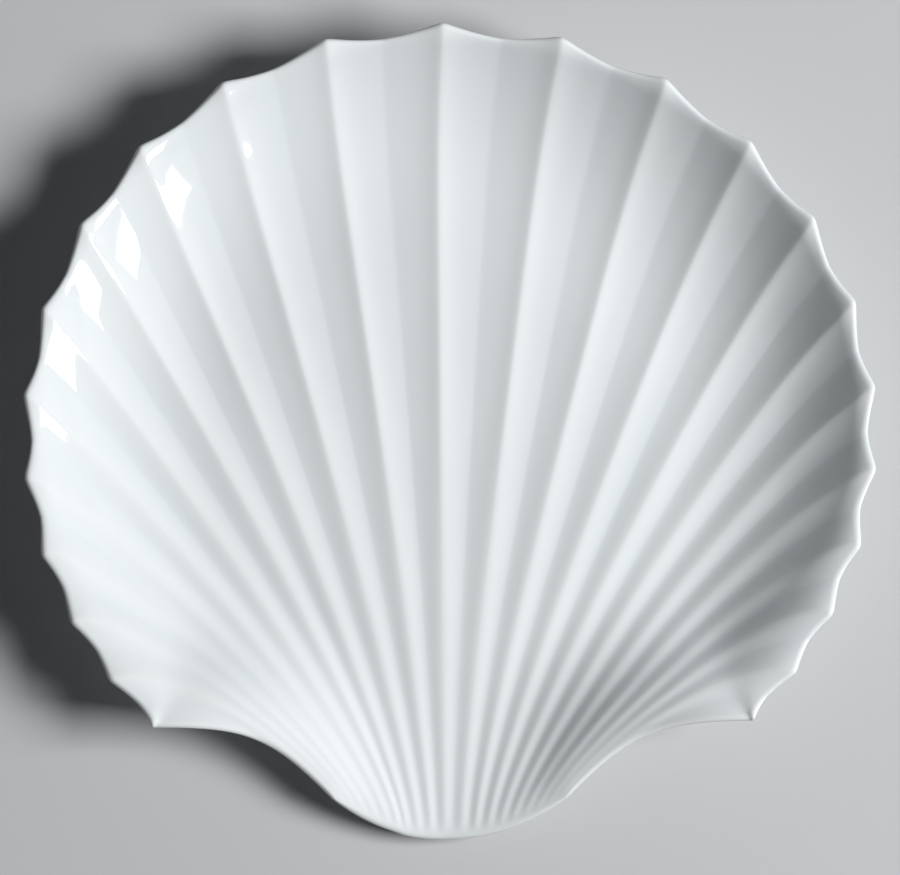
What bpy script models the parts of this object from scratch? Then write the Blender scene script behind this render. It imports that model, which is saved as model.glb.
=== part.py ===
"""A shell-shaped chop plate: one glazed casting with 22 flutes that fan out from its base.

Metres, +Z up. The origin is under the middle of the plate, on the surface it stands on.
The plate is symmetric about the plane x = 0, and +Y points away from the base of the fan.
A place on the plate is given by its flute number (0 on the middle ridge, whole numbers on
the other ridges) and by its way along the flute (0 on the base edge, 1 on the rim).
"""
import math

import bpy
import numpy as np

# Outline seen from above: the ridge tips lie on an ellipse
TIP_HALF_WIDTH = 0.1606
TIP_REACH = 0.1533
FLUTES_PER_SIDE = 11
CORNER_ANGLE = math.radians(135.5)
FLUTE_CROWDING = 0.308

# Base edge, a flat arch through the foot of every ridge
BASE_REACH = 0.1533
BASE_FLUTE_PITCH = 0.0051
BASE_PITCH_LOSS = 0.0000083
BASE_SPAN = 0.040
BASE_ARCH = 0.0115
BASE_SHOULDER = 0.0011

# Handles that bend the ridges, as (across, along) on the outermost one
NEAR_HANDLE = (0.0685, -0.1130)
FAR_HANDLE = (0.0775, -0.1096)
MIDDLE_NEAR_HANDLE = -0.1470
MIDDLE_FAR_HANDLE = 0.0514
NEAR_HANDLE_BULGE = 0.0434
FAR_HANDLE_BULGE = -0.2369

# Wall section, as (lip width, steepest slope, bowl width): the lip rolls over at the edge,
# and the bowl runs down to the flat well
WALL_THICKNESS = 0.0048
RIM_SECTION = np.array([0.008, 1.03, 0.068])
WING_SECTION = np.array([0.026, 1.15, 0.036])
FLANK_SECTION = np.array([0.0045, 0.35, 0.038])
FLANK_WING_SECTION = np.array([0.026, 1.00, 0.042])
BASE_SECTION = np.array([0.006, 0.08, 0.050])
BOWL_EASING = 1.5
WING_REACH = 0.070
EDGE_ROUNDING = 0.0022
EDGE_TAKEN = 0.0017

# Flute section: a wave where flutes are narrow, a ridge and a valley fold where they are wide
WAVE_DEPTH = 0.077
WAVE_PITCH = 0.009
FOLD_PITCH = 0.026
RIDGE_SLOPE = 0.36
RIDGE_REACH = 0.0042
RIDGE_ROUNDING = 0.0015
VALLEY_SLOPE = 0.075
VALLEY_ROUNDING = 0.0010
RIM_DIP = 0.097
RIM_TIP_ROUNDING = 0.0016
PRESSED_SHARE = 0.45
BASE_BAND_START = 0.0025
BASE_BAND_END = 0.0060
FADE_START_PITCH = 0.0015
FADE_END_PITCH = 0.0060
UNDERSIDE_FOLLOW = 0.85
FOLLOW_START_PITCH = 0.012
FOLLOW_FULL_PITCH = 0.032

# Foot ring
FOOT_RADIUS = 0.076
FOOT_WIDTH = 0.0034
FOOT_HEIGHT = 0.0040
FOOT_FLARE = 0.0014

# Mesh
COLUMNS_PER_FLUTE = 5
ROWS = 20
EDGE_ROWS = 2
RIDGE_COLUMN_CROWDING = 0.45
RIM_ROW_CROWDING = 0.13
ROW_EASING = 1.5
EDGE_ROW_EASING = 1.6
FOOT_SEGMENTS = 72
MERGE_DISTANCE = 0.00001
COLUMN_TOLERANCE = 0.0001
SHARP_ANGLE = math.radians(35.0)

# Small steps for slopes, sampling of the outline, and how sharply the nearest edge wins
FLUTE_STEP = 0.01
WAY_STEP = 0.001
OUTLINE_SAMPLES = 240
EDGE_SOFTNESS = 0.0012
EDGE_POWER = 7

GLAZE_COLOUR = (0.86, 0.89, 0.91, 1.0)
GLAZE_ROUGHNESS = 0.12


def smooth_step(value, start, end):
    """Rise from 0 at start to 1 at end without a kink."""
    share = np.clip((value - start) / (end - start), 0.0, 1.0)
    return share * share * (3.0 - 2.0 * share)


def rim_tip(flute):
    """Point of the tip ellipse that a flute number reaches."""
    share = flute / FLUTES_PER_SIDE
    angle = CORNER_ANGLE * share * (1.0 + FLUTE_CROWDING * (1.0 - share))
    return np.stack([TIP_HALF_WIDTH * np.sin(angle), TIP_REACH * np.cos(angle)], axis=-1)


def base_point(flute):
    """Point of the base edge where a flute number starts."""
    across = BASE_FLUTE_PITCH * flute - BASE_PITCH_LOSS * flute**3
    span = across / BASE_SPAN
    along = -BASE_REACH + BASE_ARCH * span**2 + BASE_SHOULDER * span**4
    return np.stack([across, along], axis=-1)


def near_handle(flute):
    """Handle next to the base edge."""
    share = flute / FLUTES_PER_SIDE
    across = (NEAR_HANDLE[0] - NEAR_HANDLE_BULGE) * share + NEAR_HANDLE_BULGE * share**3
    along = MIDDLE_NEAR_HANDLE + (NEAR_HANDLE[1] - MIDDLE_NEAR_HANDLE) * share**2
    return np.stack([across, along], axis=-1)


def far_handle(flute):
    """Handle next to the rim."""
    share = flute / FLUTES_PER_SIDE
    across = (FAR_HANDLE[0] - FAR_HANDLE_BULGE) * share + FAR_HANDLE_BULGE * share**3
    along = MIDDLE_FAR_HANDLE + (FAR_HANDLE[1] - MIDDLE_FAR_HANDLE) * share**2
    return np.stack([across, along], axis=-1)


def ridge_line(flute, way):
    """Point above the floor at a way along a flute, on a cubic curve from base to rim."""
    way = way[..., None]
    left = 1.0 - way
    return (
        left**3 * base_point(flute)
        + 3.0 * left**2 * way * near_handle(flute)
        + 3.0 * left * way**2 * far_handle(flute)
        + way**3 * rim_tip(flute)
    )


def line_step(flute, way, flute_step, way_step):
    """Change of the point for a small step, taken to both sides and scaled to one unit."""
    ahead = ridge_line(flute + flute_step, way + way_step)
    behind = ridge_line(flute - flute_step, way - way_step)
    return (ahead - behind) / (2.0 * (flute_step + way_step))


def flute_pitch(flute, way):
    """Width of a flute at a place, square to its run."""
    across = line_step(flute, way, FLUTE_STEP, 0.0)
    along = line_step(flute, way, 0.0, WAY_STEP)
    area = np.abs(across[..., 0] * along[..., 1] - across[..., 1] * along[..., 0])
    return area / np.linalg.norm(along, axis=-1)


def soft_length(length, rounding):
    """Length that starts with a rounded bottom instead of a corner."""
    return np.sqrt(length**2 + rounding**2) - rounding


def flute_section(flute, pitch):
    """Height over the middle of the flute: a wave where narrow, a ridge and a fold where wide."""
    turn = np.abs(flute - np.round(flute))
    wave = 0.5 * WAVE_DEPTH * pitch * (1.0 + np.cos(2.0 * math.pi * turn))
    from_ridge = soft_length(turn * pitch, RIDGE_ROUNDING)
    half = soft_length(0.5 * pitch, RIDGE_ROUNDING)
    fold = VALLEY_SLOPE * soft_length(half - from_ridge, VALLEY_ROUNDING)
    fall = np.exp(-from_ridge / RIDGE_REACH) - np.exp(-half / RIDGE_REACH)
    ridge = RIDGE_SLOPE * RIDGE_REACH * fall
    wide = smooth_step(pitch, WAVE_PITCH, FOLD_PITCH)
    return wave + wide * (ridge + fold - wave)


def rim_frame(flute):
    """Flute pitch measured around the rim, and how fast a flute runs towards the rim."""
    rim = np.ones_like(flute)
    around = line_step(flute, rim, FLUTE_STEP, 0.0)
    pitch = np.linalg.norm(around, axis=-1)
    outward = np.stack([-around[..., 1], around[..., 0]], axis=-1) / pitch[..., None]
    approach = np.abs(np.sum(line_step(flute, rim, 0.0, WAY_STEP) * outward, axis=-1))
    return pitch, approach


def rim_way(flute):
    """Way along a flute where the scalloped rim cuts it off."""
    pitch, approach = rim_frame(flute)
    soft = RIM_TIP_ROUNDING / pitch
    from_ridge = np.sqrt((flute - np.round(flute)) ** 2 + soft**2) - soft
    dip = 4.0 * RIM_DIP * pitch * from_ridge * (1.0 - from_ridge)
    return 1.0 - dip / approach


def edge_round(flute, way):
    """How far the rounded edge takes each face back, from the way to the nearest edge."""
    to_rim = (rim_way(flute) - way) * rim_frame(flute)[1]
    to_flank = (FLUTES_PER_SIDE - flute) * flute_pitch(flute, way)
    to_base = np.linalg.norm(ridge_line(flute, way) - base_point(flute), axis=-1)
    nearest = np.minimum(np.minimum(to_rim, to_flank), to_base)
    left = 1.0 - np.clip(nearest / EDGE_ROUNDING, 0.0, 1.0)
    return EDGE_TAKEN * (1.0 - np.sqrt(1.0 - left**2))


def relief(flute, way):
    """Height that the flutes add to the plain wall, zero on average."""
    pitch = flute_pitch(flute, way)
    depth = flute_section(np.zeros_like(flute), pitch)
    from_base = np.linalg.norm(ridge_line(flute, way) - base_point(flute), axis=-1)
    fade = smooth_step(from_base, BASE_BAND_START, BASE_BAND_END)
    fade = fade * smooth_step(pitch, FADE_START_PITCH, FADE_END_PITCH)
    return fade * (flute_section(flute, pitch) - PRESSED_SHARE * depth)


def underside_share(flute, way):
    """How much of the relief shows underneath: none where flutes are narrow."""
    pitch = flute_pitch(flute, way)
    return UNDERSIDE_FOLLOW * smooth_step(pitch, FOLLOW_START_PITCH, FOLLOW_FULL_PITCH)


def edge_sections(run, kind, steps):
    """Lip width, wall slope and bowl width along one run of the outline."""
    section = RIM_SECTION if kind == "rim" else FLANK_SECTION
    if kind == "base":
        to_corner = steps[:, None] ** 2
        section = BASE_SECTION + (FLANK_SECTION - BASE_SECTION) * to_corner
    wing_corner = rim_tip(np.array(float(FLUTES_PER_SIDE)))
    to_wing = np.linalg.norm(run - wing_corner, axis=-1)
    wing = np.exp(-((to_wing / WING_REACH) ** 2))[:, None]
    at_wing = WING_SECTION if kind == "rim" else FLANK_WING_SECTION
    return section + (at_wing - section) * wing


def outline_edges():
    """Points of the plain outline, the length each stands for, and the wall section there."""
    steps = (np.arange(OUTLINE_SAMPLES) + 0.5) / OUTLINE_SAMPLES
    flute = steps * FLUTES_PER_SIDE
    corner = np.full_like(steps, float(FLUTES_PER_SIDE))
    runs = {
        "rim": rim_tip(flute),
        "flank": ridge_line(corner, steps),
        "base": base_point(flute),
    }
    points = np.concatenate(list(runs.values()))
    lengths = np.concatenate(
        [np.linalg.norm(np.gradient(run, axis=0), axis=-1) for run in runs.values()]
    )
    sections = np.concatenate([edge_sections(run, kind, steps) for kind, run in runs.items()])
    mirrored = points * np.array([-1.0, 1.0])
    return (
        np.concatenate([points, mirrored]),
        np.concatenate([lengths, lengths]),
        np.concatenate([sections, sections]),
    )


def plain_wall(places):
    """Height of the plain wall over the well and its steepness, from the soft distance to the edge."""
    points, lengths, sections = outline_edges()
    straight = math.sqrt(math.pi) * math.gamma((EDGE_POWER - 1) / 2) / math.gamma(EDGE_POWER / 2)
    walls = np.empty((len(places), 2))
    for index, place in enumerate(places):
        square = np.sum((points - place) ** 2, axis=-1) + EDGE_SOFTNESS**2
        pull = lengths * square ** (-EDGE_POWER / 2)
        total = pull.sum()
        distance = (total / straight) ** (-1.0 / (EDGE_POWER - 1))
        walls[index] = wall_section(distance, *(pull @ sections / total))
    return walls[:, 0], walls[:, 1]


def wall_section(distance, lip, slope, bowl):
    """Height and slope at a distance from the edge: a lip arc, then a bowl that eases into the well."""
    bowl_rise = slope * bowl / (BOWL_EASING + 1.0)
    if distance < lip:
        return bowl_rise + 0.5 * slope * (lip - distance**2 / lip), slope * distance / lip
    left = max(1.0 - (distance - lip) / bowl, 0.0)
    return bowl_rise * left ** (BOWL_EASING + 1.0), slope * left**BOWL_EASING


def ridge_crowded(share):
    """Column place within a flute, closer together beside the ridges."""
    turns = 2.0 * math.pi * share
    return share - RIDGE_COLUMN_CROWDING * np.sin(turns) / (2.0 * math.pi)


def row_way(share, flute):
    """Way of a row, with rows for the rounded edges and more of them near the rim."""
    rim_band = EDGE_ROUNDING / rim_frame(flute)[1]
    base_speed = np.linalg.norm(line_step(flute, np.zeros_like(flute), 0.0, WAY_STEP), axis=-1)
    base_band = EDGE_ROUNDING / base_speed
    rim_rows = (1.0 - share) * ROWS
    base_rows = share * ROWS
    near_rim = rim_band * np.clip(rim_rows / EDGE_ROWS, 0.0, 1.0) ** EDGE_ROW_EASING
    near_base = base_band * np.clip(base_rows / EDGE_ROWS, 0.0, 1.0) ** EDGE_ROW_EASING
    middle = np.clip((rim_rows - EDGE_ROWS) / (ROWS - 2 * EDGE_ROWS), 0.0, 1.0)
    crowded = middle * (RIM_ROW_CROWDING + (1.0 - RIM_ROW_CROWDING) * middle**ROW_EASING)
    return 1.0 - near_rim - (1.0 - rim_band - base_band) * crowded - (base_band - near_base)


def add_half_slab(name):
    """Flat open sheet for the right half of the slab, with how far each face will move."""
    bpy.ops.mesh.primitive_grid_add(
        x_subdivisions=COLUMNS_PER_FLUTE * FLUTES_PER_SIDE, y_subdivisions=ROWS, size=2.0
    )
    slab = bpy.context.active_object
    slab.name = name
    slab.data.name = name
    count = len(slab.data.vertices)
    flat = np.empty(count * 3)
    slab.data.vertices.foreach_get("co", flat)
    grid = 0.5 * (flat.reshape(count, 3) + 1.0)
    flute_steps = grid[:, 0] * FLUTES_PER_SIDE
    whole = np.floor(flute_steps + COLUMN_TOLERANCE)
    flute = whole + ridge_crowded(flute_steps - whole)
    way = row_way(grid[:, 1], flute) * rim_way(flute)
    places = ridge_line(flute, way)
    level = np.full(count, FOOT_HEIGHT + WALL_THICKNESS)
    slab.data.vertices.foreach_set("co", np.column_stack([places, level]).ravel())
    height, slope = plain_wall(places)
    pressed = relief(flute, way)
    rounded = edge_round(flute, way)
    slant = WALL_THICKNESS * (np.sqrt(1.0 + slope**2) - 1.0)
    moves = {
        "upper_move": height + pressed - rounded,
        "lower_move": height + pressed * underside_share(flute, way) + rounded - slant,
    }
    for label, move in moves.items():
        slab.data.attributes.new(label, "FLOAT", "POINT").data.foreach_set("value", move)
    slab.data.update()
    return slab


def thicken(slab):
    """Mirror the half slab and give it the wall's thickness, downwards."""
    mirror = slab.modifiers.new("other_half", "MIRROR")
    mirror.merge_threshold = MERGE_DISTANCE
    wall = slab.modifiers.new("wall", "SOLIDIFY")
    wall.thickness = WALL_THICKNESS
    wall.offset = -1.0
    evaluated = slab.evaluated_get(bpy.context.evaluated_depsgraph_get())
    solid = bpy.data.meshes.new_from_object(evaluated)
    slab.modifiers.clear()
    slab.data = solid
    solid.name = slab.name


def press_into_mould(slab):
    """Press the flat slab into its shell form: the bowl, the flutes and the rounded edges."""
    mesh = slab.data
    count = len(mesh.vertices)
    flat = np.empty(count * 3)
    mesh.vertices.foreach_get("co", flat)
    points = flat.reshape(count, 3)
    upper = np.empty(count)
    lower = np.empty(count)
    mesh.attributes["upper_move"].data.foreach_get("value", upper)
    mesh.attributes["lower_move"].data.foreach_get("value", lower)
    underside = points[:, 2] < FOOT_HEIGHT + 0.5 * WALL_THICKNESS
    points[:, 2] += np.where(underside, lower, upper)
    mesh.vertices.foreach_set("co", points.ravel())
    mesh.update()


def add_foot_ring():
    """Turned foot with a flat bottom, its top buried in the wall."""
    inner = FOOT_RADIUS - 0.5 * FOOT_WIDTH
    outer = FOOT_RADIUS + 0.5 * FOOT_WIDTH
    buried = FOOT_HEIGHT + 0.5 * WALL_THICKNESS
    profile = [
        (outer + FOOT_FLARE, buried),
        (outer, 0.0),
        (inner, 0.0),
        (inner - FOOT_FLARE, buried),
    ]
    mesh = bpy.data.meshes.new("foot_ring")
    edges = [(index, (index + 1) % len(profile)) for index in range(len(profile))]
    mesh.from_pydata([(radius, 0.0, height) for radius, height in profile], edges, [])
    ring = bpy.data.objects.new("foot_ring", mesh)
    turn = ring.modifiers.new("turn", "SCREW")
    turn.axis = "Z"
    turn.steps = FOOT_SEGMENTS
    turn.render_steps = FOOT_SEGMENTS
    turn.use_merge_vertices = True
    turn.merge_threshold = MERGE_DISTANCE
    return ring


def add_glaze():
    """Cool white glossy glaze."""
    glaze = bpy.data.materials.new("glaze")
    glaze.use_nodes = True
    shader = glaze.node_tree.nodes["Principled BSDF"]
    shader.inputs["Base Color"].default_value = GLAZE_COLOUR
    shader.inputs["Roughness"].default_value = GLAZE_ROUGHNESS
    shader.inputs["Metallic"].default_value = 0.0
    glaze.diffuse_color = GLAZE_COLOUR
    return glaze


def finish_plate(plate, ring, glaze):
    """Join the foot to the plate, and shade the surface smooth."""
    foot = plate.modifiers.new("foot", "BOOLEAN")
    foot.operation = "UNION"
    foot.solver = "EXACT"
    foot.object = ring
    plate.data.materials.clear()
    plate.data.materials.append(glaze)
    plate.data.shade_smooth()
    plate.data.set_sharp_from_angle(angle=SHARP_ANGLE)


def move_to(thing, collection):
    """Put an object in one collection and no other."""
    for holder in list(thing.users_collection):
        holder.objects.unlink(thing)
    collection.objects.link(thing)


def build():
    for thing in list(bpy.data.objects):
        bpy.data.objects.remove(thing, do_unlink=True)
    parts = bpy.data.collections.new("chop_plate")
    cutters = bpy.data.collections.new("cutters")
    bpy.context.scene.collection.children.link(parts)
    bpy.context.scene.collection.children.link(cutters)

    plate = add_half_slab("shell_plate")
    move_to(plate, parts)
    thicken(plate)
    press_into_mould(plate)

    ring = add_foot_ring()
    move_to(ring, cutters)
    ring.hide_render = True
    ring.display_type = "WIRE"
    finish_plate(plate, ring, add_glaze())


build()
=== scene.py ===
"""A shell-shaped chop plate in cool white glaze, on a pale floor under soft studio light."""
import math

import bpy
import numpy as np
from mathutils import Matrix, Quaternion, Vector, noise


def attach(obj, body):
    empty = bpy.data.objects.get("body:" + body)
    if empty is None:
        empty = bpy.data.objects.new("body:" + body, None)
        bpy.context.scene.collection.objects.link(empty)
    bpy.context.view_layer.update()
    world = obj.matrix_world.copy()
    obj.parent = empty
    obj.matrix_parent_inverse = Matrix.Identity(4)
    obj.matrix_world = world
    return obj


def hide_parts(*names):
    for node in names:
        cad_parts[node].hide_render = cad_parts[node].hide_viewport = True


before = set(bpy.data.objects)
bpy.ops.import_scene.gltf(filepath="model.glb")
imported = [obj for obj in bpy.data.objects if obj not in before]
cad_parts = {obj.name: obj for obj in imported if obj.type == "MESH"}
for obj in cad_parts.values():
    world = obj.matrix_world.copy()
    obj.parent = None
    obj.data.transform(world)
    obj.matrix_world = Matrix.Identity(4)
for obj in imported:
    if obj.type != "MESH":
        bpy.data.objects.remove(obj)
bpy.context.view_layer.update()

# Outline seen from above: the ridge tips lie on an ellipse
TIP_HALF_WIDTH = 0.1606
TIP_REACH = 0.1533
FLUTES_PER_SIDE = 11
CORNER_ANGLE = math.radians(135.5)
FLUTE_CROWDING = 0.308

# Base edge, a flat arch through the foot of every ridge
BASE_REACH = 0.1533
BASE_FLUTE_PITCH = 0.0051
BASE_PITCH_LOSS = 0.0000083
BASE_SPAN = 0.040
BASE_ARCH = 0.0115
BASE_SHOULDER = 0.0011

# Handles that bend the ridges, as (across, along) on the outermost one
NEAR_HANDLE = (0.0685, -0.1130)
FAR_HANDLE = (0.0775, -0.1096)
MIDDLE_NEAR_HANDLE = -0.1470
MIDDLE_FAR_HANDLE = 0.0514
NEAR_HANDLE_BULGE = 0.0434
FAR_HANDLE_BULGE = -0.2369

# Wall section, as (lip width, steepest slope, bowl width)
WALL_THICKNESS = 0.0048
RIM_SECTION = np.array([0.008, 1.03, 0.068])
WING_SECTION = np.array([0.026, 1.15, 0.036])
FLANK_SECTION = np.array([0.0045, 0.35, 0.038])
FLANK_WING_SECTION = np.array([0.026, 1.00, 0.042])
BASE_SECTION = np.array([0.006, 0.08, 0.050])
BOWL_EASING = 1.5
WING_REACH = 0.070
OUTLINE_SAMPLES = 240
EDGE_SOFTNESS = 0.0012
EDGE_POWER = 7
FLUTE_STEP = 0.01
WAY_STEP = 0.001

# Flute section: a wave where flutes are narrow, a ridge and a valley fold where they are wide
WAVE_DEPTH = 0.077
WAVE_PITCH = 0.009
FOLD_PITCH = 0.026
RIDGE_SLOPE = 0.36
RIDGE_REACH = 0.0042
RIDGE_ROUNDING = 0.0015
VALLEY_SLOPE = 0.075
VALLEY_ROUNDING = 0.0010
RIM_DIP = 0.097
RIM_TIP_ROUNDING = 0.0016
PRESSED_SHARE = 0.45
BASE_BAND_START = 0.0025
BASE_BAND_END = 0.0060
FADE_START_PITCH = 0.0015
FADE_END_PITCH = 0.0060
UNDERSIDE_FOLLOW = 0.85
FOLLOW_START_PITCH = 0.012
FOLLOW_FULL_PITCH = 0.032

# Rounded edge, and the small waver of a hand-finished casting
EDGE_ROUNDING = 0.0022
EDGE_TAKEN = 0.0020
EDGE_BAND_LIMIT = 0.45
LEAN = -0.0021
LEAN_MIDDLE = -1.5
LEAN_SPAN = 2.2
WAVER_HEIGHT = 0.00012
WAVER_LENGTH = 0.034
WAVER_SLICE = 0.37

# Foot ring
FOOT_RADIUS = 0.076
FOOT_WIDTH = 0.0034
FOOT_HEIGHT = 0.0040
FOOT_CORNER = 0.0006
FOOT_FILLET = 0.0022
FOOT_BURIED_SHARE = 0.4
FOOT_SEGMENTS = 180
FILLET_STEPS = 6
CORNER_STEPS = 4

# Mesh
COLUMNS_PER_FLUTE = 20
ROWS = 84
EDGE_STEPS = 7
COLUMN_CROWDING = 0.72
RIM_ROW_CROWDING = 0.35
ROW_EASING = 1.4
WALL_BATCH = 1500
GUIDE_WAY = 0.6
SHALLOWEST_RELIEF = 0.0002
MERGE_DISTANCE = 0.00001
SHARP_ANGLE = math.radians(50.0)

# Glaze and clay
GLAZE_WHITE = (0.765, 0.800, 0.815, 1.0)
GLAZE_POOL = (0.725, 0.772, 0.790, 1.0)
STAIN_COLOUR = (0.68, 0.60, 0.50, 1.0)
SPECK_COLOUR = (0.20, 0.17, 0.15, 1.0)
CLAY_COLOUR = (0.66, 0.62, 0.55, 1.0)
CLAY_SHADE = (0.56, 0.51, 0.44, 1.0)
# Noise, as (scale, detail)
POOL_NOISE = (22.0, 3.0)
STREAK_NOISE = (1.0, 4.0)
REGION_NOISE = (9.0, 1.0)
GRAIN_NOISE = (900.0, 2.0)
GLOSS_NOISE = (40.0, 4.0)
RIPPLE_NOISE = (75.0, 2.0)
PEEL_NOISE = (520.0, 2.0)
FLOOR_NOISE = (3.0, 3.0)
STREAK_STRETCH = (9.0, 14.0, 1.0)
STAIN_SHARE = 0.16
SPECK_SCALE = 24.0
SPECK_SHARE = 0.6
# Ranges, as (from start, from end) or (from start, from end, to start, to end)
POOL_RANGE = (0.25, 0.75, 0.5, 1.0)
STREAK_RANGE = (0.62, 0.80)
REGION_RANGE = (0.48, 0.62)
SPECK_RANGE = (0.0075, 0.011, 1.0, 0.0)
SPECK_PICK_RANGE = (0.80, 0.86)
BARE_RANGE = (0.00035, 0.0007, 1.0, 0.0)
GLOSS_RANGE = (0.3, 0.7, 0.045, 0.085)
CLAY_ROUGHNESS = 0.85
GLAZE_IOR = 1.5
# Bumps, as (strength, distance)
RIPPLE_BUMP = (0.6, 0.00006)
PEEL_BUMP = (0.25, 0.000006)

# Studio
CAMERA_DISTANCE = 5.0
SENSOR_WIDTH = 36.0
VIEW_WIDTH = 0.33763
VIEW_TARGET = (0.00042, -0.00197, 0.030)
VIEW_TILT = math.radians(-4.0)
VIEW_ROLL = math.radians(-0.59)
# Lamps, as (bearing, elevation, distance, size, power)
KEY_LIGHT = (math.radians(-3.0), math.radians(47.0), 3.0, 1.2, 109.0)
GLOSS_LIGHT = (math.radians(-24.5), math.radians(10.5), 1.3, 0.50, 11.1)
AMBIENT = 0.03
BACKDROP = (0.62, 0.63, 0.64, 1.0)
FLOOR_SIDE = 12.0
FLOOR_COLOUR = (0.56, 0.57, 0.58, 1.0)
FLOOR_SHADE = 0.97
FLOOR_ROUGHNESS = 0.8


def smooth_step(value, start, end):
    """Rise from 0 at start to 1 at end without a kink."""
    share = np.clip((value - start) / (end - start), 0.0, 1.0)
    return share * share * (3.0 - 2.0 * share)


def rim_tip(flute):
    """Point of the tip ellipse that a flute number reaches."""
    share = flute / FLUTES_PER_SIDE
    angle = CORNER_ANGLE * share * (1.0 + FLUTE_CROWDING * (1.0 - share))
    return np.stack([TIP_HALF_WIDTH * np.sin(angle), TIP_REACH * np.cos(angle)], axis=-1)


def base_point(flute):
    """Point of the base edge where a flute number starts."""
    across = BASE_FLUTE_PITCH * flute - BASE_PITCH_LOSS * flute**3
    span = across / BASE_SPAN
    along = -BASE_REACH + BASE_ARCH * span**2 + BASE_SHOULDER * span**4
    return np.stack([across, along], axis=-1)


def near_handle(flute):
    """Handle next to the base edge."""
    share = flute / FLUTES_PER_SIDE
    across = (NEAR_HANDLE[0] - NEAR_HANDLE_BULGE) * share + NEAR_HANDLE_BULGE * share**3
    along = MIDDLE_NEAR_HANDLE + (NEAR_HANDLE[1] - MIDDLE_NEAR_HANDLE) * share**2
    return np.stack([across, along], axis=-1)


def far_handle(flute):
    """Handle next to the rim."""
    share = flute / FLUTES_PER_SIDE
    across = (FAR_HANDLE[0] - FAR_HANDLE_BULGE) * share + FAR_HANDLE_BULGE * share**3
    along = MIDDLE_FAR_HANDLE + (FAR_HANDLE[1] - MIDDLE_FAR_HANDLE) * share**2
    return np.stack([across, along], axis=-1)


def ridge_line(flute, way):
    """Point above the floor at a way along a flute, on a cubic curve from base to rim."""
    way = way[..., None]
    left = 1.0 - way
    return (
        left**3 * base_point(flute)
        + 3.0 * left**2 * way * near_handle(flute)
        + 3.0 * left * way**2 * far_handle(flute)
        + way**3 * rim_tip(flute)
    )


def line_step(flute, way, flute_step, way_step):
    """Change of the point for a small step, taken to both sides and scaled to one unit."""
    ahead = ridge_line(flute + flute_step, way + way_step)
    behind = ridge_line(flute - flute_step, way - way_step)
    return (ahead - behind) / (2.0 * (flute_step + way_step))


def flute_pitch(flute, way):
    """Width of a flute at a place, square to its run."""
    across = line_step(flute, way, FLUTE_STEP, 0.0)
    along = line_step(flute, way, 0.0, WAY_STEP)
    area = np.abs(across[..., 0] * along[..., 1] - across[..., 1] * along[..., 0])
    return area / np.linalg.norm(along, axis=-1)


def soft_length(length, rounding):
    """Length that starts with a rounded bottom instead of a corner."""
    return np.sqrt(length**2 + rounding**2) - rounding


def flute_section(flute, pitch):
    """Height over the middle of the flute: a wave where narrow, a ridge and a fold where wide."""
    turn = np.abs(flute - np.round(flute))
    wave = 0.5 * WAVE_DEPTH * pitch * (1.0 + np.cos(2.0 * math.pi * turn))
    from_ridge = soft_length(turn * pitch, RIDGE_ROUNDING)
    half = soft_length(0.5 * pitch, RIDGE_ROUNDING)
    fold = VALLEY_SLOPE * soft_length(half - from_ridge, VALLEY_ROUNDING)
    fall = np.exp(-from_ridge / RIDGE_REACH) - np.exp(-half / RIDGE_REACH)
    ridge = RIDGE_SLOPE * RIDGE_REACH * fall
    wide = smooth_step(pitch, WAVE_PITCH, FOLD_PITCH)
    return wave + wide * (ridge + fold - wave)


def rim_frame(flute):
    """Flute pitch measured around the rim, and how fast a flute runs towards the rim."""
    rim = np.ones_like(flute)
    around = line_step(flute, rim, FLUTE_STEP, 0.0)
    pitch = np.linalg.norm(around, axis=-1)
    outward = np.stack([-around[..., 1], around[..., 0]], axis=-1) / pitch[..., None]
    approach = np.abs(np.sum(line_step(flute, rim, 0.0, WAY_STEP) * outward, axis=-1))
    return pitch, approach


def rim_way(flute):
    """Way along a flute where the scalloped rim cuts it off."""
    pitch, approach = rim_frame(flute)
    soft = RIM_TIP_ROUNDING / pitch
    from_ridge = np.sqrt((flute - np.round(flute)) ** 2 + soft**2) - soft
    dip = 4.0 * RIM_DIP * pitch * from_ridge * (1.0 - from_ridge)
    return 1.0 - dip / approach


def edge_round(flute, way):
    """How far the rounded edge takes each face back, from the way to the nearest edge."""
    to_rim = (rim_way(flute) - way) * rim_frame(flute)[1]
    to_flank = (FLUTES_PER_SIDE - flute) * flute_pitch(flute, way)
    to_base = np.linalg.norm(ridge_line(flute, way) - base_point(flute), axis=-1)
    nearest = np.minimum(np.minimum(to_rim, to_flank), to_base)
    left = 1.0 - np.clip(nearest / EDGE_ROUNDING, 0.0, 1.0)
    return EDGE_TAKEN * (1.0 - np.sqrt(1.0 - left**2))


def relief(flute, way):
    """Height that the flutes add to the plain wall, zero on average, and their depth there."""
    pitch = flute_pitch(flute, way)
    depth = flute_section(np.zeros_like(flute), pitch)
    from_base = np.linalg.norm(ridge_line(flute, way) - base_point(flute), axis=-1)
    fade = smooth_step(from_base, BASE_BAND_START, BASE_BAND_END)
    fade = fade * smooth_step(pitch, FADE_START_PITCH, FADE_END_PITCH)
    return fade * (flute_section(flute, pitch) - PRESSED_SHARE * depth), fade * depth


def underside_share(flute, way):
    """How much of the relief shows underneath: none where flutes are narrow."""
    pitch = flute_pitch(flute, way)
    return UNDERSIDE_FOLLOW * smooth_step(pitch, FOLLOW_START_PITCH, FOLLOW_FULL_PITCH)


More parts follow.
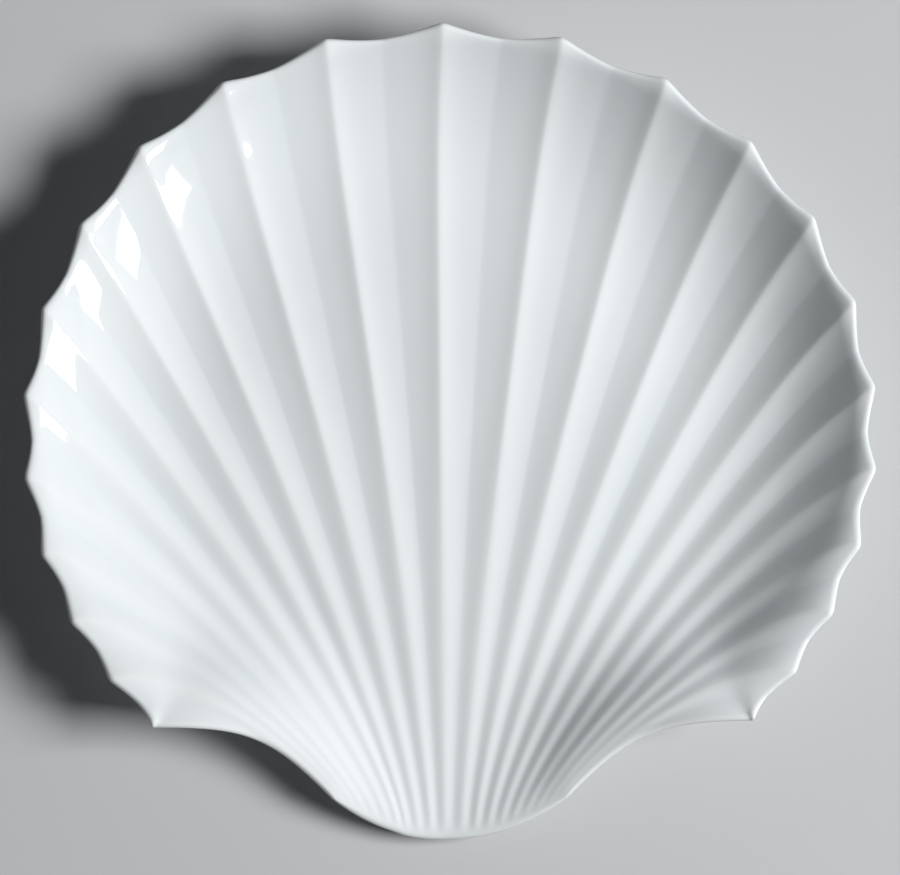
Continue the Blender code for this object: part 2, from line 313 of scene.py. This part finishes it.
def edge_sections(run, kind, steps):
    """Lip width, wall slope and bowl width along one run of the outline."""
    section = RIM_SECTION if kind == "rim" else FLANK_SECTION
    if kind == "base":
        to_corner = steps[:, None] ** 2
        section = BASE_SECTION + (FLANK_SECTION - BASE_SECTION) * to_corner
    wing_corner = rim_tip(np.array(float(FLUTES_PER_SIDE)))
    to_wing = np.linalg.norm(run - wing_corner, axis=-1)
    wing = np.exp(-((to_wing / WING_REACH) ** 2))[:, None]
    at_wing = WING_SECTION if kind == "rim" else FLANK_WING_SECTION
    return section + (at_wing - section) * wing


def outline_edges():
    """Points of the plain outline, the length each stands for, and the wall section there."""
    steps = (np.arange(OUTLINE_SAMPLES) + 0.5) / OUTLINE_SAMPLES
    flute = steps * FLUTES_PER_SIDE
    corner = np.full_like(steps, float(FLUTES_PER_SIDE))
    runs = {
        "rim": rim_tip(flute),
        "flank": ridge_line(corner, steps),
        "base": base_point(flute),
    }
    points = np.concatenate(list(runs.values()))
    lengths = np.concatenate(
        [np.linalg.norm(np.gradient(run, axis=0), axis=-1) for run in runs.values()]
    )
    sections = np.concatenate([edge_sections(run, kind, steps) for kind, run in runs.items()])
    mirrored = points * np.array([-1.0, 1.0])
    return (
        np.concatenate([points, mirrored]),
        np.concatenate([lengths, lengths]),
        np.concatenate([sections, sections]),
    )


def wall_section(distance, lip, slope, bowl):
    """Height and slope at a distance from the edge: a lip arc, then a bowl that eases into the well."""
    bowl_rise = slope * bowl / (BOWL_EASING + 1.0)
    left = np.clip(1.0 - (distance - lip) / bowl, 0.0, 1.0)
    on_lip = distance < lip
    height = np.where(
        on_lip,
        bowl_rise + 0.5 * slope * (lip - distance**2 / lip),
        bowl_rise * left ** (BOWL_EASING + 1.0),
    )
    return height, np.where(on_lip, slope * distance / lip, slope * left**BOWL_EASING)


def plain_wall(places):
    """Height of the plain wall over the well and its steepness, from the soft distance to the edge."""
    points, lengths, sections = outline_edges()
    straight = math.sqrt(math.pi) * math.gamma((EDGE_POWER - 1) / 2) / math.gamma(EDGE_POWER / 2)
    heights = np.empty(len(places))
    slopes = np.empty(len(places))
    for start in range(0, len(places), WALL_BATCH):
        batch = slice(start, start + WALL_BATCH)
        apart = places[batch, None, :] - points[None, :, :]
        square = np.sum(apart**2, axis=-1) + EDGE_SOFTNESS**2
        pull = lengths * square ** (-EDGE_POWER / 2)
        total = pull.sum(axis=1)
        distance = (total / straight) ** (-1.0 / (EDGE_POWER - 1))
        lip, slope, bowl = (pull @ sections / total[:, None]).T
        heights[batch], slopes[batch] = wall_section(distance, lip, slope, bowl)
    return heights, slopes


def edge_steps():
    """Steps over a rounded edge at equal turns, from 0 on the edge to 1 where it ends."""
    turns = np.arange(EDGE_STEPS + 1) / EDGE_STEPS * math.pi / 2.0
    return 1.0 - np.cos(turns)


def column_flutes(pitch_at_flank):
    """Signed flute number of every column, closer at ridges, folds and rounded flank edges."""
    band = min(EDGE_ROUNDING / pitch_at_flank, EDGE_BAND_LIMIT)
    steps = np.arange(COLUMNS_PER_FLUTE * FLUTES_PER_SIDE) / COLUMNS_PER_FLUTE
    whole = np.floor(steps)
    share = steps - whole
    crowded = share - COLUMN_CROWDING * np.sin(4.0 * math.pi * share) / (4.0 * math.pi)
    last = whole == FLUTES_PER_SIDE - 1
    crowded = np.where(last, crowded * (1.0 - band), crowded)
    right = np.concatenate([whole + crowded, FLUTES_PER_SIDE - band * edge_steps()[::-1]])
    return np.concatenate([-right[:0:-1], right])


def row_ways(flute):
    """Way of every row, from the base to the rim, with rows over both rounded edges."""
    rim_band = EDGE_ROUNDING / rim_frame(flute)[1]
    base_speed = np.linalg.norm(line_step(flute, np.zeros_like(flute), 0.0, WAY_STEP), axis=-1)
    base_band = EDGE_ROUNDING / base_speed
    inner_rows = ROWS - 2 * EDGE_STEPS
    from_rim = np.arange(1, inner_rows)[::-1] / inner_rows
    crowded = from_rim * (RIM_ROW_CROWDING + (1.0 - RIM_ROW_CROWDING) * from_rim**ROW_EASING)
    near_base = base_band * edge_steps()[:, None]
    middle = 1.0 - rim_band - (1.0 - rim_band - base_band) * crowded[:, None]
    near_rim = 1.0 - rim_band * edge_steps()[::-1, None]
    return np.concatenate([near_base, middle, near_rim])


def waver(places):
    """Slow waver of the wall's height, as a hand-finished casting has."""
    return WAVER_HEIGHT * np.array(
        [noise.noise(Vector((x, y, WAVER_SLICE)) / WAVER_LENGTH) for x, y in places]
    )


def shell_points():
    """Upper and lower points of the whole wall, the depth of glaze, and the flute coordinates."""
    guide = column_flutes(flute_pitch(np.array(float(FLUTES_PER_SIDE)), np.array(GUIDE_WAY)))
    base_row = row_ways(np.abs(guide))
    rows, columns = base_row.shape
    corner = np.full(rows, float(FLUTES_PER_SIDE))
    signed = np.array(
        [column_flutes(pitch) for pitch in flute_pitch(corner, base_row[:, columns // 2])]
    )
    flute = np.abs(signed)
    way = base_row * rim_way(flute)
    places = ridge_line(flute, way).reshape(-1, 2)
    height, slope = plain_wall(places)
    pressed, depth = (part.ravel() for part in relief(flute, way))
    rounded = edge_round(flute, way).ravel()
    follow = underside_share(flute, way).ravel()
    slant = WALL_THICKNESS * (np.sqrt(1.0 + slope**2) - 1.0)
    side = np.where(signed < 0.0, -1.0, 1.0).ravel()
    lean = LEAN * np.exp(-(((signed.ravel() - LEAN_MIDDLE) / LEAN_SPAN) ** 4))
    across = side * places[:, 0] + lean
    ripple = waver(np.column_stack([across, places[:, 1]]))
    well = FOOT_HEIGHT + WALL_THICKNESS
    upper = well + height + pressed - rounded + ripple
    lower = FOOT_HEIGHT + height + pressed * follow + rounded - slant + ripple
    pool = np.clip(0.5 - pressed / np.maximum(depth, SHALLOWEST_RELIEF), 0.0, 1.0)
    return (
        np.column_stack([across, places[:, 1], upper]),
        np.column_stack([across, places[:, 1], lower]),
        pool,
        np.column_stack([signed.ravel(), way.ravel(), np.zeros(len(side))]),
        (rows, columns),
    )


def shell_faces(rows, columns):
    """Quads of the upper face, the lower face and the strip that joins their borders."""
    number = np.arange(rows * columns).reshape(rows, columns)
    a, b, c, d = number[:-1, :-1], number[:-1, 1:], number[1:, 1:], number[1:, :-1]
    upper = np.stack([a, b, c, d], axis=-1).reshape(-1, 4)
    lower = upper[:, ::-1] + rows * columns
    border = np.concatenate(
        [number[0, :], number[1:, -1], number[-1, -2::-1], number[-2:0:-1, 0]]
    )
    ahead = np.roll(border, -1)
    count = rows * columns
    strip = np.stack([border + count, ahead + count, ahead, border], axis=-1)
    return np.concatenate([upper, lower, strip])


def add_shell():
    """Closed mesh of the plate's wall, with its glaze depth and flute coordinates."""
    upper, lower, pool, run, (rows, columns) = shell_points()
    mesh = bpy.data.meshes.new("fluted_plate")
    faces = shell_faces(rows, columns)
    mesh.from_pydata(np.concatenate([upper, lower]).tolist(), [], faces.tolist())
    mesh.attributes.new("pool", "FLOAT", "POINT").data.foreach_set(
        "value", np.concatenate([pool, np.zeros(len(pool))])
    )
    mesh.attributes.new("run", "FLOAT_VECTOR", "POINT").data.foreach_set(
        "vector", np.concatenate([run, run]).ravel()
    )
    plate = bpy.data.objects.new("fluted_plate", mesh)
    bpy.context.scene.collection.objects.link(plate)
    return plate


def foot_profile():
    """Half section of the foot ring: rounded bottom corners and hollow fillets up to the wall."""
    half = 0.5 * FOOT_WIDTH
    corner = [
        (half - FOOT_CORNER + FOOT_CORNER * math.sin(turn), FOOT_CORNER - FOOT_CORNER * math.cos(turn))
        for turn in np.linspace(0.0, math.pi / 2.0, CORNER_STEPS + 1)
    ]
    fillet = [
        (
            half + FOOT_FILLET - FOOT_FILLET * math.cos(turn),
            FOOT_HEIGHT - FOOT_FILLET + FOOT_FILLET * math.sin(turn),
        )
        for turn in np.linspace(0.0, math.pi / 2.0, FILLET_STEPS + 1)
    ]
    buried = [(half + FOOT_FILLET, FOOT_HEIGHT + FOOT_BURIED_SHARE * WALL_THICKNESS)]
    outer = corner + fillet + buried
    inner = [(-across, up) for across, up in reversed(outer)]
    return [(FOOT_RADIUS + across, up) for across, up in outer + inner]


def add_foot():
    """Turned foot ring as a closed solid, its top buried in the wall."""
    profile = foot_profile()
    mesh = bpy.data.meshes.new("foot")
    edges = [(index, (index + 1) % len(profile)) for index in range(len(profile))]
    mesh.from_pydata([(radius, 0.0, up) for radius, up in profile], edges, [])
    foot = bpy.data.objects.new("foot", mesh)
    bpy.context.scene.collection.objects.link(foot)
    turn = foot.modifiers.new("turn", "SCREW")
    turn.axis = "Z"
    turn.steps = FOOT_SEGMENTS
    turn.render_steps = FOOT_SEGMENTS
    turn.use_merge_vertices = True
    turn.merge_threshold = MERGE_DISTANCE
    return foot


def join_foot(plate, foot):
    """Make the wall and the foot ring one closed casting."""
    union = plate.modifiers.new("foot", "BOOLEAN")
    union.operation = "UNION"
    union.solver = "EXACT"
    union.object = foot
    evaluated = plate.evaluated_get(bpy.context.evaluated_depsgraph_get())
    joined = bpy.data.meshes.new_from_object(evaluated)
    plate.modifiers.clear()
    plate.data = joined
    bpy.data.objects.remove(foot, do_unlink=True)
    joined.shade_smooth()
    joined.set_sharp_from_angle(angle=SHARP_ANGLE)


def add_node(tree, kind, **values):
    """Shader node with its plain settings."""
    node = tree.nodes.new(kind)
    for name, value in values.items():
        setattr(node, name, value)
    return node


def add_noise(tree, vector, scale, detail):
    """Noise texture over given coordinates."""
    texture = add_node(tree, "ShaderNodeTexNoise")
    texture.inputs["Scale"].default_value = scale
    texture.inputs["Detail"].default_value = detail
    tree.links.new(vector, texture.inputs["Vector"])
    return texture.outputs["Fac"]


def add_range(tree, value, start, end, low=0.0, high=1.0):
    """Map a value from one range to another, smoothly and kept inside it."""
    node = add_node(tree, "ShaderNodeMapRange", interpolation_type="SMOOTHSTEP")
    tree.links.new(value, node.inputs["Value"])
    node.inputs["From Min"].default_value = start
    node.inputs["From Max"].default_value = end
    node.inputs["To Min"].default_value = low
    node.inputs["To Max"].default_value = high
    return node.outputs["Result"]


def add_product(tree, first, second):
    """Multiply two values, each a socket or a number."""
    node = add_node(tree, "ShaderNodeMath", operation="MULTIPLY")
    for socket, value in zip(node.inputs, (first, second)):
        if isinstance(value, float):
            socket.default_value = value
        else:
            tree.links.new(value, socket)
    return node.outputs["Value"]


def add_blend(tree, share, first, second):
    """Blend two colours, each a socket or a colour, by a share."""
    node = add_node(tree, "ShaderNodeMix", data_type="RGBA")
    tree.links.new(share, node.inputs["Factor"])
    for socket, value in ((node.inputs[6], first), (node.inputs[7], second)):
        if isinstance(value, tuple):
            socket.default_value = value
        else:
            tree.links.new(value, socket)
    return node.outputs[2]


def add_bump(tree, height, strength, distance):
    """Small relief of the surface that follows a value."""
    bump = add_node(tree, "ShaderNodeBump")
    bump.inputs["Strength"].default_value = strength
    bump.inputs["Distance"].default_value = distance
    tree.links.new(height, bump.inputs["Height"])
    return bump


def add_glaze():
    """Cool white glaze that pools in the flutes, with faint stains, specks and a bare clay foot."""
    glaze = bpy.data.materials.new("white_glaze")
    glaze.use_nodes = True
    tree = glaze.node_tree
    shader = tree.nodes["Principled BSDF"]
    place = add_node(tree, "ShaderNodeTexCoord").outputs["Object"]
    run = add_node(tree, "ShaderNodeAttribute", attribute_name="run").outputs["Vector"]
    pool = add_node(tree, "ShaderNodeAttribute", attribute_name="pool").outputs["Fac"]

    cloud = add_noise(tree, place, *POOL_NOISE)
    pooled = add_product(tree, pool, add_range(tree, cloud, *POOL_RANGE))
    colour = add_blend(tree, pooled, GLAZE_WHITE, GLAZE_POOL)

    stretch = add_node(tree, "ShaderNodeMapping")
    stretch.inputs["Scale"].default_value = STREAK_STRETCH
    tree.links.new(run, stretch.inputs["Vector"])
    streak_noise = add_noise(tree, stretch.outputs["Vector"], *STREAK_NOISE)
    streak = add_range(tree, streak_noise, *STREAK_RANGE)
    region = add_range(tree, add_noise(tree, place, *REGION_NOISE), *REGION_RANGE)
    stain = add_product(tree, add_product(tree, streak, region), STAIN_SHARE)
    colour = add_blend(tree, stain, colour, STAIN_COLOUR)

    cells = add_node(tree, "ShaderNodeTexVoronoi")
    cells.inputs["Scale"].default_value = SPECK_SCALE
    tree.links.new(place, cells.inputs["Vector"])
    dot = add_range(tree, cells.outputs["Distance"], *SPECK_RANGE)
    pick = add_node(tree, "ShaderNodeSeparateColor")
    tree.links.new(cells.outputs["Color"], pick.inputs["Color"])
    speck = add_product(tree, dot, add_range(tree, pick.outputs[0], *SPECK_PICK_RANGE))
    colour = add_blend(tree, add_product(tree, speck, SPECK_SHARE), colour, SPECK_COLOUR)

    height = add_node(tree, "ShaderNodeSeparateXYZ")
    tree.links.new(place, height.inputs["Vector"])
    bare = add_range(tree, height.outputs["Z"], *BARE_RANGE)
    grain = add_noise(tree, place, *GRAIN_NOISE)
    clay = add_blend(tree, grain, CLAY_COLOUR, CLAY_SHADE)
    tree.links.new(add_blend(tree, bare, colour, clay), shader.inputs["Base Color"])

    gloss = add_range(tree, add_noise(tree, place, *GLOSS_NOISE), *GLOSS_RANGE)
    rough = add_node(tree, "ShaderNodeMix", data_type="FLOAT")
    tree.links.new(bare, rough.inputs["Factor"])
    tree.links.new(gloss, rough.inputs["A"])
    rough.inputs["B"].default_value = CLAY_ROUGHNESS
    tree.links.new(rough.outputs["Result"], shader.inputs["Roughness"])
    shader.inputs["IOR"].default_value = GLAZE_IOR

    ripple = add_bump(tree, add_noise(tree, place, *RIPPLE_NOISE), *RIPPLE_BUMP)
    peel = add_bump(tree, add_noise(tree, place, *PEEL_NOISE), *PEEL_BUMP)
    tree.links.new(ripple.outputs["Normal"], peel.inputs["Normal"])
    tree.links.new(peel.outputs["Normal"], shader.inputs["Normal"])
    return glaze


def add_floor():
    """Plain pale floor."""
    mesh = bpy.data.meshes.new("floor")
    half = 0.5 * FLOOR_SIDE
    mesh.from_pydata(
        [(-half, -half, 0.0), (half, -half, 0.0), (half, half, 0.0), (-half, half, 0.0)],
        [],
        [(0, 1, 2, 3)],
    )
    paint = bpy.data.materials.new("floor_paint")
    paint.use_nodes = True
    tree = paint.node_tree
    shader = tree.nodes["Principled BSDF"]
    place = add_node(tree, "ShaderNodeTexCoord").outputs["Object"]
    cloud = add_noise(tree, place, *FLOOR_NOISE)
    shade = tuple(channel * FLOOR_SHADE for channel in FLOOR_COLOUR[:3]) + (1.0,)
    tree.links.new(add_blend(tree, cloud, FLOOR_COLOUR, shade), shader.inputs["Base Color"])
    shader.inputs["Roughness"].default_value = FLOOR_ROUGHNESS
    mesh.materials.append(paint)
    floor = bpy.data.objects.new("floor", mesh)
    bpy.context.scene.collection.objects.link(floor)


def add_world():
    """Low even light, with a pale backdrop where it is seen directly or in the gloss."""
    world = bpy.data.worlds.new("studio")
    bpy.context.scene.world = world
    world.use_nodes = True
    tree = world.node_tree
    even = tree.nodes["Background"]
    even.inputs["Color"].default_value = (1.0, 1.0, 1.0, 1.0)
    even.inputs["Strength"].default_value = AMBIENT
    seen = add_node(tree, "ShaderNodeBackground")
    seen.inputs["Color"].default_value = BACKDROP
    seen.inputs["Strength"].default_value = 1.0
    path = add_node(tree, "ShaderNodeLightPath")
    either = path.outputs["Is Camera Ray"]
    for name in ("Is Glossy Ray", "Is Transmission Ray"):
        most = add_node(tree, "ShaderNodeMath", operation="MAXIMUM")
        tree.links.new(either, most.inputs[0])
        tree.links.new(path.outputs[name], most.inputs[1])
        either = most.outputs["Value"]
    choice = add_node(tree, "ShaderNodeMixShader")
    tree.links.new(either, choice.inputs["Fac"])
    tree.links.new(even.outputs["Background"], choice.inputs[1])
    tree.links.new(seen.outputs["Background"], choice.inputs[2])
    tree.links.new(choice.outputs["Shader"], tree.nodes["World Output"].inputs["Surface"])


def add_lamp(name, bearing, elevation, distance, size, power):
    """Square soft lamp that faces the plate."""
    lamp = bpy.data.lights.new(name, "AREA")
    lamp.shape = "SQUARE"
    lamp.size = size
    lamp.energy = power
    holder = bpy.data.objects.new(name, lamp)
    bpy.context.scene.collection.objects.link(holder)
    level = math.cos(elevation)
    way = Vector((math.cos(bearing) * level, math.sin(bearing) * level, math.sin(elevation)))
    holder.location = way * distance
    holder.rotation_euler = way.to_track_quat("Z", "Y").to_euler()
    return holder


def add_lamps():
    """Key lamp that lights the surfaces, and a softbox that is only seen in the gloss."""
    key = add_lamp("key", *KEY_LIGHT)
    key.visible_glossy = False
    softbox = add_lamp("softbox", *GLOSS_LIGHT)
    softbox.visible_diffuse = False


def add_camera():
    """Camera above the plate, tilted a little to its left side."""
    lens = bpy.data.cameras.new("camera")
    lens.sensor_width = SENSOR_WIDTH
    lens.lens = SENSOR_WIDTH * CAMERA_DISTANCE / VIEW_WIDTH
    camera = bpy.data.objects.new("camera", lens)
    bpy.context.scene.collection.objects.link(camera)
    turn = Quaternion((0.0, 1.0, 0.0), VIEW_TILT) @ Quaternion((0.0, 0.0, 1.0), VIEW_ROLL)
    camera.location = Vector(VIEW_TARGET) + turn @ Vector((0.0, 0.0, CAMERA_DISTANCE))
    camera.rotation_euler = turn.to_euler()
    bpy.context.scene.camera = camera


def build():
    """Make the plate, the floor, the light and the camera."""
    plate = add_shell()
    join_foot(plate, add_foot())
    plate.data.materials.clear()
    plate.data.materials.append(add_glaze())
    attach(plate, "root")
    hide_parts("shell_plate")
    add_floor()
    add_world()
    add_lamps()
    add_camera()
    bpy.context.scene.view_settings.view_transform = "Standard"


build()
